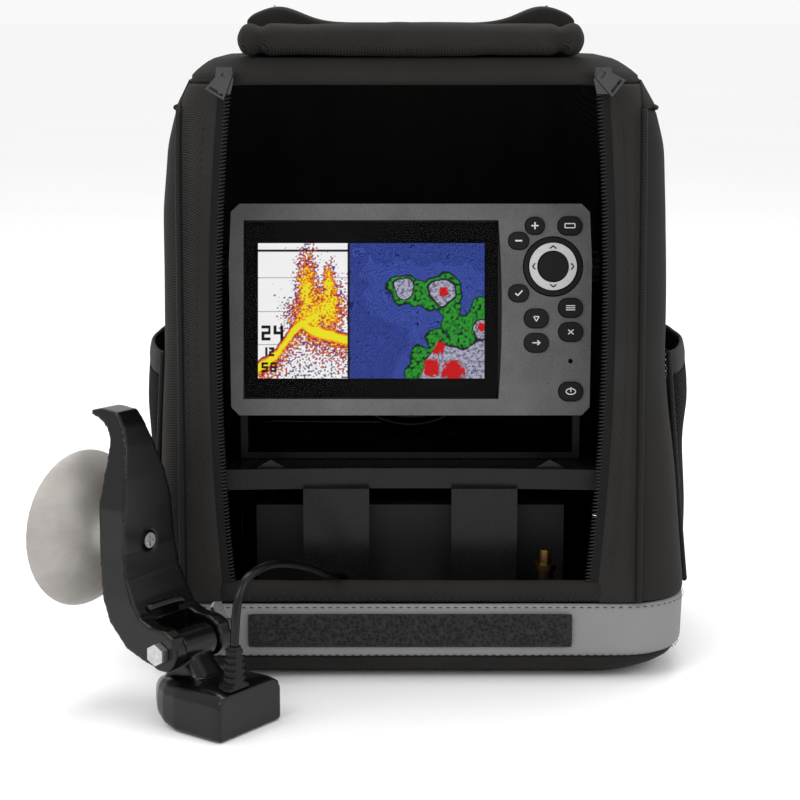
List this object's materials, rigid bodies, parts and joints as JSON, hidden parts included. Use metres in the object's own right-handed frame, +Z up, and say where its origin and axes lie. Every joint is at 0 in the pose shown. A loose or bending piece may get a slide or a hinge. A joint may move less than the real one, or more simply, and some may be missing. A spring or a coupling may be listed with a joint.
{
  "type": "fish finder",
  "caption": "Portable fish finder: keyed sonar display on a gimbal in a soft black carry case with battery tray, folding flap and zips, plus a transducer on a suction-cup arm and cable.",
  "frame": {"origin": "the floor, at the middle of the case's base", "axes": "+X to the right seen from the front, +Y to the back, +Z up; the case's open front faces -Y"},
  "size_m": [0.309, 0.2916, 0.3069],
  "materials": {
    "case_cloth": "black twill",
    "pocket_mesh": "open black mesh",
    "base_cloth": "silver-grey coated cloth",
    "loop_pile": "hook-and-loop pile",
    "webbing": "ribbed webbing",
    "gunmetal": "satin gunmetal",
    "bezel_grey": "fine speckled grey",
    "dark_plastic": "satin black",
    "tray_plastic": "gloss black",
    "key_plastic": "soft black",
    "pad_ring": "light grey",
    "screen_glass": "clear, over the display",
    "board": "green circuit board",
    "seal_rubber": "matt black rubber",
    "battery_case": "dark grey moulded case",
    "brass": "bright brass",
    "cable_rubber": "smooth black jacket",
    "float_plastic": "fine-grained black",
    "cup_rubber": "smooth beige rubber",
    "steel": "plated"
  },
  "bodies": {
    "case": {"base_band": "base_cloth", "roof_panel": "case_cloth", "back_panel": "case_cloth", "front_lip": "case_cloth", "left_side_panel": "case_cloth", "right_side_panel": "case_cloth", "front_left_strip": "case_cloth", "front_right_strip": "case_cloth", "loop_strip": "loop_pile", "left_pocket": "pocket_mesh", "right_pocket": "pocket_mesh", "grab_handle": "webbing", "shoulder_strap_left": "webbing", "shoulder_strap_right": "webbing", "tray_base": "tray_plastic", "shelf_bridge": "dark_plastic", "battery": "battery_case", "battery_terminal_negative": "brass", "battery_terminal_positive": "brass", "charge_socket": "brass", "power_lead": "cable_rubber", "gimbal_bracket": "dark_plastic", "transducer_body": "float_plastic", "cable_boot": "cable_rubber", "transducer_cable": "cable_rubber", "cable_coil": "cable_rubber", "cable_tail": "cable_rubber"},
    "head": {"front_bezel": "bezel_grey", "rear_housing": "dark_plastic", "screen_lens": "screen_glass", "lcd_panel": "dark_plastic", "circuit_board": "board", "keypad_membrane": "seal_rubber", "bezel_gasket": "seal_rubber", "cable_connector": "cable_rubber"},
    "key_plus": {"key_plus": "key_plastic"},
    "key_minus": {"key_minus": "key_plastic"},
    "key_view": {"key_view": "key_plastic"},
    "key_check": {"key_check": "key_plastic"},
    "key_menu": {"key_menu": "key_plastic"},
    "key_mark": {"key_mark": "key_plastic"},
    "key_exit": {"key_exit": "key_plastic"},
    "key_goto": {"key_goto": "key_plastic"},
    "key_power": {"key_power": "key_plastic"},
    "dpad_carrier": {"dpad_carrier": "key_plastic"},
    "dpad_ring": {"dpad_ring": "pad_ring"},
    "knob_left": {"gimbal_knob_left": "seal_rubber"},
    "knob_right": {"gimbal_knob_right": "seal_rubber"},
    "flap_upper": {"flap_upper": "case_cloth"},
    "flap_middle": {"flap_middle": "case_cloth"},
    "flap_tab": {"flap_tab": "case_cloth"},
    "zip_slider_left": {"zip_slider_left": "gunmetal"},
    "zip_puller_left": {"zip_puller_left": "gunmetal"},
    "zip_slider_right": {"zip_slider_right": "gunmetal"},
    "zip_puller_right": {"zip_puller_right": "gunmetal"},
    "arm": {"transducer_arm": "float_plastic", "pivot_bolt": "steel", "cup_screw": "steel"},
    "suction_cup": {"suction_cup": "cup_rubber"},
    "wing_nut": {"wing_nut": "steel"}
  },
  "joints": [
    {"name": "head_tilt", "type": "hinge", "parent": "case", "child": "head", "pos_m": [0, -0.015, 0.189], "axis": [1, 0, 0], "range_deg": [-15, 10], "deforming": ["cable_tail"]},
    {"name": "press_plus", "type": "slide", "parent": "head", "child": "key_plus", "axis": [0, 0.9836, -0.1805], "range_m": [0, 0.0012], "stiffness_N_per_m": 400},
    {"name": "press_minus", "type": "slide", "parent": "head", "child": "key_minus", "axis": [0, 0.9836, -0.1805], "range_m": [0, 0.0012], "stiffness_N_per_m": 400},
    {"name": "press_view", "type": "slide", "parent": "head", "child": "key_view", "axis": [0, 0.9836, -0.1805], "range_m": [0, 0.0012], "stiffness_N_per_m": 400},
    {"name": "press_check", "type": "slide", "parent": "head", "child": "key_check", "axis": [0, 0.9836, -0.1805], "range_m": [0, 0.0012], "stiffness_N_per_m": 400},
    {"name": "press_menu", "type": "slide", "parent": "head", "child": "key_menu", "axis": [0, 0.9836, -0.1805], "range_m": [0, 0.0012], "stiffness_N_per_m": 400},
    {"name": "press_mark", "type": "slide", "parent": "head", "child": "key_mark", "axis": [0, 0.9836, -0.1805], "range_m": [0, 0.0012], "stiffness_N_per_m": 400},
    {"name": "press_exit", "type": "slide", "parent": "head", "child": "key_exit", "axis": [0, 0.9836, -0.1805], "range_m": [0, 0.0012], "stiffness_N_per_m": 400},
    {"name": "press_goto", "type": "slide", "parent": "head", "child": "key_goto", "axis": [0, 0.9836, -0.1805], "range_m": [0, 0.0012], "stiffness_N_per_m": 400},
    {"name": "press_power", "type": "slide", "parent": "head", "child": "key_power", "axis": [0, 0.9836, -0.1805], "range_m": [0, 0.0012], "stiffness_N_per_m": 400},
    {"name": "dpad_up_down", "type": "hinge", "parent": "head", "child": "dpad_carrier", "pos_m": [0.06855, -0.03891, 0.1909], "axis": [1, 0, 0], "range_deg": [-3, 3], "stiffness_Nm_per_rad": 0.3},
    {"name": "dpad_left_right", "type": "hinge", "parent": "dpad_carrier", "child": "dpad_ring", "pos_m": [0.06855, -0.04107, 0.19129], "axis": [0, 0.1805, 0.9836], "range_deg": [-3, 3], "stiffness_Nm_per_rad": 0.3},
    {"name": "knob_left_turn", "type": "hinge", "parent": "head", "child": "knob_left", "pos_m": [-0.084, -0.015, 0.189], "axis": [-1, 0, 0], "continuous": true},
    {"name": "knob_right_turn", "type": "hinge", "parent": "head", "child": "knob_right", "pos_m": [0.084, -0.015, 0.189], "axis": [1, 0, 0], "continuous": true},
    {"name": "flap_fold", "type": "hinge", "parent": "case", "child": "flap_upper", "pos_m": [0, -0.08, 0.297], "axis": [1, 0, 0], "range_deg": [0, 270]},
    {"name": "flap_middle_fold", "type": "hinge", "parent": "flap_upper", "child": "flap_middle", "pos_m": [0, 0.029, 0.29645], "axis": [1, 0, 0], "range_deg": [-180, 0]},
    {"name": "flap_tab_fold", "type": "hinge", "parent": "flap_middle", "child": "flap_tab", "pos_m": [0, -0.053, 0.30175], "axis": [1, 0, 0], "range_deg": [0, 180]},
    {"name": "zip_run_left", "type": "hinge", "parent": "case", "child": "zip_slider_left", "pos_m": [1.109, -0.0846, 0.16], "axis": [0, -0.999, 0.045], "range_deg": [0, 10.6]},
    {"name": "zip_puller_left_flip", "type": "hinge", "parent": "zip_slider_left", "child": "zip_puller_left", "pos_m": [-0.08338, -0.0843, 0.28462], "axis": [-0.8572, 0.0232, 0.5145], "range_deg": [0, 90]},
    {"name": "zip_run_right", "type": "hinge", "parent": "case", "child": "zip_slider_right", "pos_m": [-1.108, -0.08392, 0.175], "axis": [0, 0.999, -0.045], "range_deg": [0, 10.6]},
    {"name": "zip_puller_right_flip", "type": "hinge", "parent": "zip_slider_right", "child": "zip_puller_right", "pos_m": [0.08531, -0.0843, 0.28462], "axis": [-0.6157, -0.0354, -0.7872], "range_deg": [0, 90]},
    {"name": "arm_tilt", "type": "hinge", "parent": "case", "child": "arm", "pos_m": [-0.099, -0.142, 0.034], "axis": [0.5878, 0.809, 0], "range_deg": [-28, 35]},
    {"name": "cup_turn", "type": "hinge", "parent": "arm", "child": "suction_cup", "pos_m": [-0.1316, -0.11831, 0.078], "axis": [-0.809, 0.5878, 0], "continuous": true},
    {"name": "wing_nut_turn", "type": "hinge", "parent": "arm", "child": "wing_nut", "pos_m": [-0.099, -0.142, 0.034], "axis": [0.5878, 0.809, 0], "continuous": true}
  ],
  "couplings": [
    {"joint": "flap_middle_fold", "follows": "flap_fold", "ratio": -0.6666},
    {"joint": "flap_tab_fold", "follows": "flap_fold", "ratio": 0.6666}
  ]
}
